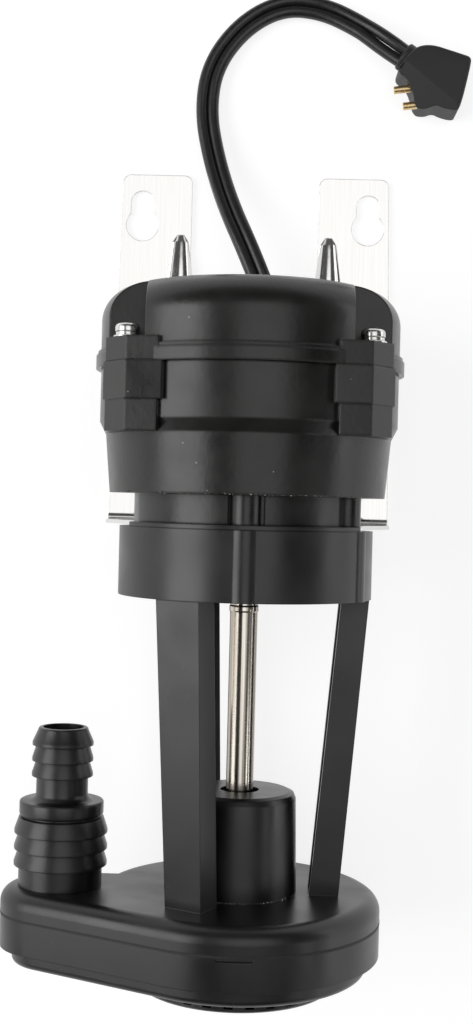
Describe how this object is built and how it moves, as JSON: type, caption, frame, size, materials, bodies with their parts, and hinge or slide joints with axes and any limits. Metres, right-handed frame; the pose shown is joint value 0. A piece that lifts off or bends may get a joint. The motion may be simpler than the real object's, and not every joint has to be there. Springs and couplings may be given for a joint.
{
  "type": "ice machine water pump",
  "caption": "Vertical-shaft water pump for an ice machine: enclosed motor on a keyhole bracket, open channel legs, volute casing with strainer, stepped barbed outlet and corded plug.",
  "frame": {"origin": "on the back face of the mounting bracket, level with the joint between the motor's end cap and housing, in line with the shaft", "axes": "+X to the right, away from the outlet; +Y along the shaft from the inlet to the motor; +Z out of the bracket's back face. The pump lies on its bracket, as pictured"},
  "size_m": [0.1346, 0.3005, 0.0912],
  "materials": {
    "painted_casting": "satin black stove enamel on a casting",
    "silicon_steel": "stacked laminations",
    "copper_wire": "enamelled copper wire",
    "sintered_bronze": "sintered bronze",
    "cast_aluminium": "cast aluminium",
    "stainless_shaft": "ground stainless steel",
    "black_rubber": "moulded rubber",
    "moulded_nylon": "black glass-filled nylon, semi-gloss",
    "polished_stainless": "bright rolled stainless sheet",
    "zinc_screws": "bright zinc plate",
    "cord_pvc": "extruded black PVC",
    "plug_pvc": "moulded black PVC",
    "brass_pins": "turned brass"
  },
  "bodies": {
    "pump": {"motor_end_cap": "painted_casting", "motor_housing": "painted_casting", "stator_core": "silicon_steel", "field_coils": "copper_wire", "upper_bush": "sintered_bronze", "lower_bush": "sintered_bronze", "mounting_bracket": "polished_stainless", "pump_frame": "moulded_nylon", "volute_cover": "moulded_nylon", "inlet_strainer": "moulded_nylon", "outlet_barb": "moulded_nylon", "end_cap_screws": "zinc_screws", "end_cap_washers": "zinc_screws", "frame_screws": "zinc_screws", "cord_grommet": "black_rubber", "power_cord": "cord_pvc", "plug_body": "plug_pvc", "plug_pins": "brass_pins"},
    "rotor": {"rotor_core": "silicon_steel", "rotor_end_ring_upper": "cast_aluminium", "rotor_end_ring_lower": "cast_aluminium", "thrust_washer_upper": "sintered_bronze", "thrust_washer_lower": "sintered_bronze", "motor_shaft": "stainless_shaft", "water_slinger": "black_rubber", "impeller": "moulded_nylon"}
  },
  "joints": [
    {"name": "rotor_spin", "type": "hinge", "parent": "pump", "child": "rotor", "pos_m": [0, -0.06, 0.047], "axis": [0, 1, 0], "continuous": true}
  ]
}
